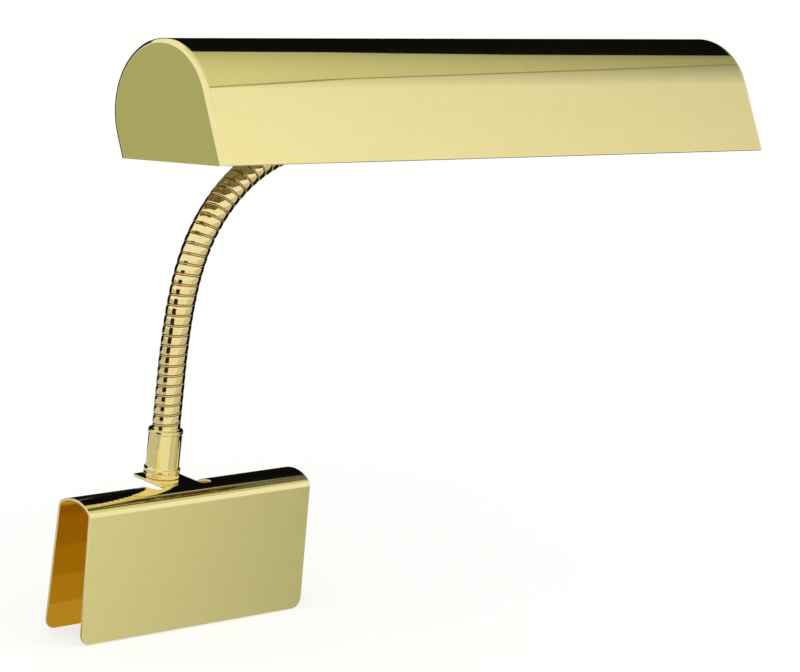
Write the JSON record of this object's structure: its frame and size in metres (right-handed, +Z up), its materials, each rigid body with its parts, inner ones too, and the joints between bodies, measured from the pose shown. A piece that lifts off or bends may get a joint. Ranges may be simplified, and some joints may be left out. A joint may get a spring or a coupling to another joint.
{
  "type": "piano lamp",
  "caption": "Clip-on piano lamp: folded brass desk clip, bendable gooseneck and a long half-round brass shade with a tubular bulb and a turn-key switch",
  "frame": {"origin": "middle of the clip's channel, on the inside of its bend, where the lamp hangs on a music desk's top edge", "axes": "X along the clip and the shade, towards the shade's long side of the neck; Y away from the player; Z up"},
  "size_m": [0.403, 0.0799, 0.2608],
  "materials": {
    "polished_brass": "polished and lacquered",
    "plated_steel": "zinc plated",
    "socket_brass": "bright rolled",
    "socket_liner_paper": "insulating fibre",
    "black_phenolic": "moulded phenolic",
    "bulb_glass": "clear glass",
    "bulb_aluminium": "rolled thread",
    "bulb_black_glass": "vitrified insulator",
    "bulb_solder": "solder",
    "bulb_wire": "drawn wire"
  },
  "bodies": {
    "clip_base": {"desk_clip": "polished_brass", "lower_ferrule": "polished_brass", "backing_washer": "polished_brass", "outlet_bushing": "black_phenolic", "neck_coil_01": "polished_brass"},
    "neck_link_1": {"neck_coil_02": "polished_brass"},
    "neck_link_2": {"neck_coil_03": "polished_brass"},
    "neck_link_3": {"neck_coil_04": "polished_brass"},
    "neck_link_4": {"neck_coil_05": "polished_brass"},
    "neck_link_5": {"neck_coil_06": "polished_brass"},
    "neck_link_6": {"neck_coil_07": "polished_brass"},
    "neck_link_7": {"neck_coil_08": "polished_brass"},
    "neck_link_8": {"neck_coil_09": "polished_brass"},
    "neck_end": {"neck_coil_10": "polished_brass", "upper_ferrule": "polished_brass", "upper_nipple": "plated_steel", "upper_spring_washer": "plated_steel", "upper_nut": "plated_steel"},
    "switch_key": {"key_stem": "plated_steel", "key_knob": "black_phenolic"},
    "shade": {"shade_shell": "polished_brass", "left_end_plate": "polished_brass", "right_end_plate": "polished_brass", "socket_bracket": "plated_steel", "socket_nut": "plated_steel", "socket_nipple": "plated_steel", "socket_cap": "socket_brass", "socket_shell": "socket_brass", "socket_liner": "socket_liner_paper", "terminal_screws": "plated_steel", "switch_block": "black_phenolic", "screw_shell": "socket_brass", "centre_contact": "socket_brass", "bulb_glass": "bulb_glass", "bulb_base": "bulb_aluminium", "bulb_insulator": "bulb_black_glass", "bulb_tip": "bulb_solder", "bulb_mount": "bulb_glass", "bulb_filament": "bulb_wire", "bulb_leads": "bulb_wire"}
  },
  "joints": [
    {"name": "neck_bend_1", "type": "hinge", "parent": "clip_base", "child": "neck_link_1", "pos_m": [-0.0039, 0.0142, 0.0323], "axis": [0.0059, 1, 0], "range_deg": [-10, 10]},
    {"name": "neck_tilt_1", "type": "hinge", "parent": "neck_link_1", "child": "neck_link_2", "pos_m": [-0.0039, 0.0142, 0.0505], "axis": [-1, 0.0059, 0], "range_deg": [-10, 10]},
    {"name": "neck_bend_2", "type": "hinge", "parent": "neck_link_2", "child": "neck_link_3", "pos_m": [-0.00336, 0.0142, 0.06869], "axis": [0.0059, 1, 0], "range_deg": [-10, 10]},
    {"name": "neck_tilt_2", "type": "hinge", "parent": "neck_link_3", "child": "neck_link_4", "pos_m": [-0.00146, 0.01419, 0.08678], "axis": [-0.9887, 0.0059, 0.1495], "range_deg": [-10, 10]},
    {"name": "neck_bend_3", "type": "hinge", "parent": "neck_link_4", "child": "neck_link_5", "pos_m": [0.00291, 0.01416, 0.10443], "axis": [0.0059, 1, 0], "range_deg": [-10, 10]},
    {"name": "neck_tilt_3", "type": "hinge", "parent": "neck_link_5", "child": "neck_link_6", "pos_m": [0.01109, 0.01411, 0.12062], "axis": [-0.8251, 0.0049, 0.565], "range_deg": [-10, 10]},
    {"name": "neck_bend_4", "type": "hinge", "parent": "neck_link_6", "child": "neck_link_7", "pos_m": [0.02319, 0.01404, 0.13415], "axis": [0.0059, 1, 0], "range_deg": [-10, 10]},
    {"name": "neck_tilt_4", "type": "hinge", "parent": "neck_link_7", "child": "neck_link_8", "pos_m": [0.03839, 0.01395, 0.14406], "axis": [-0.4289, 0.0025, 0.9033], "range_deg": [-10, 10]},
    {"name": "neck_bend_5", "type": "hinge", "parent": "neck_link_8", "child": "neck_end", "pos_m": [0.05568, 0.01385, 0.14955], "axis": [0.0059, 1, 0], "range_deg": [-10, 10]},
    {"name": "shade_swivel", "type": "hinge", "parent": "neck_end", "child": "shade", "pos_m": [0.08703, 0.01366, 0.14964], "axis": [0.9997, -0.0059, -0.0255], "range_deg": [-35, 35]},
    {"name": "switch_turn", "type": "hinge", "parent": "shade", "child": "switch_key", "pos_m": [0.12364, 0.00461, 0.15526], "axis": [-0.0165, -0.8991, -0.4374], "continuous": true}
  ],
  "couplings": [
    {"joint": "neck_bend_2", "follows": "neck_bend_1", "ratio": 1},
    {"joint": "neck_tilt_2", "follows": "neck_tilt_1", "ratio": 1},
    {"joint": "neck_bend_3", "follows": "neck_bend_1", "ratio": 1},
    {"joint": "neck_tilt_3", "follows": "neck_tilt_1", "ratio": 1},
    {"joint": "neck_bend_4", "follows": "neck_bend_1", "ratio": 1},
    {"joint": "neck_tilt_4", "follows": "neck_tilt_1", "ratio": 1},
    {"joint": "neck_bend_5", "follows": "neck_bend_1", "ratio": 1}
  ]
}
